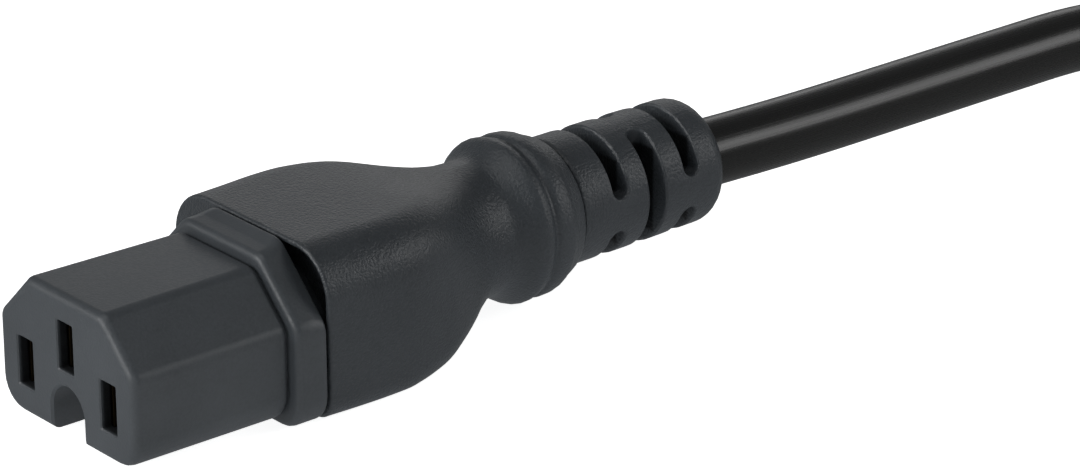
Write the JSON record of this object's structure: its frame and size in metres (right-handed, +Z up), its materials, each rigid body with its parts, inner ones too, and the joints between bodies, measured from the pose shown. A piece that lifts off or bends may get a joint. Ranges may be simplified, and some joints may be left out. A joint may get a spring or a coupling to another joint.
{
  "type": "power cord",
  "caption": "Mains power cord: a notched hot-condition appliance connector with a slotted strain relief, a round black cord folded in a tied hank, and a moulded plug.",
  "frame": {"origin": "centre of the connector's footprint on the floor that it lies on", "axes": "+Y along the connector from its mating face to its cord, +X across it, +Z up from its flat underside"},
  "size_m": [0.0655, 0.3196, 0.0469],
  "materials": {
    "insert_plastic": "satin moulded dark blue-grey",
    "grip_plastic": "fine spark-eroded grain, dark blue-grey",
    "brass": "bright rolled sheet",
    "cord_sheath": "smooth glossy black sheath",
    "tie_fabric": "woven black strap",
    "plug_plastic": "satin moulded black",
    "nickel": "nickel plated"
  },
  "bodies": {
    "root": {"contact_carrier": "insert_plastic", "line_contact": "brass", "neutral_contact": "brass", "earth_contact": "brass", "overmould_body": "grip_plastic", "cord_lead": "cord_sheath", "cord_hank": "cord_sheath", "cord_tail": "cord_sheath", "hank_tie": "tie_fabric", "plug_body": "plug_plastic", "plug_line_blade": "nickel", "plug_neutral_blade": "nickel", "plug_earth_pin": "nickel"}
  },
  "joints": []
}
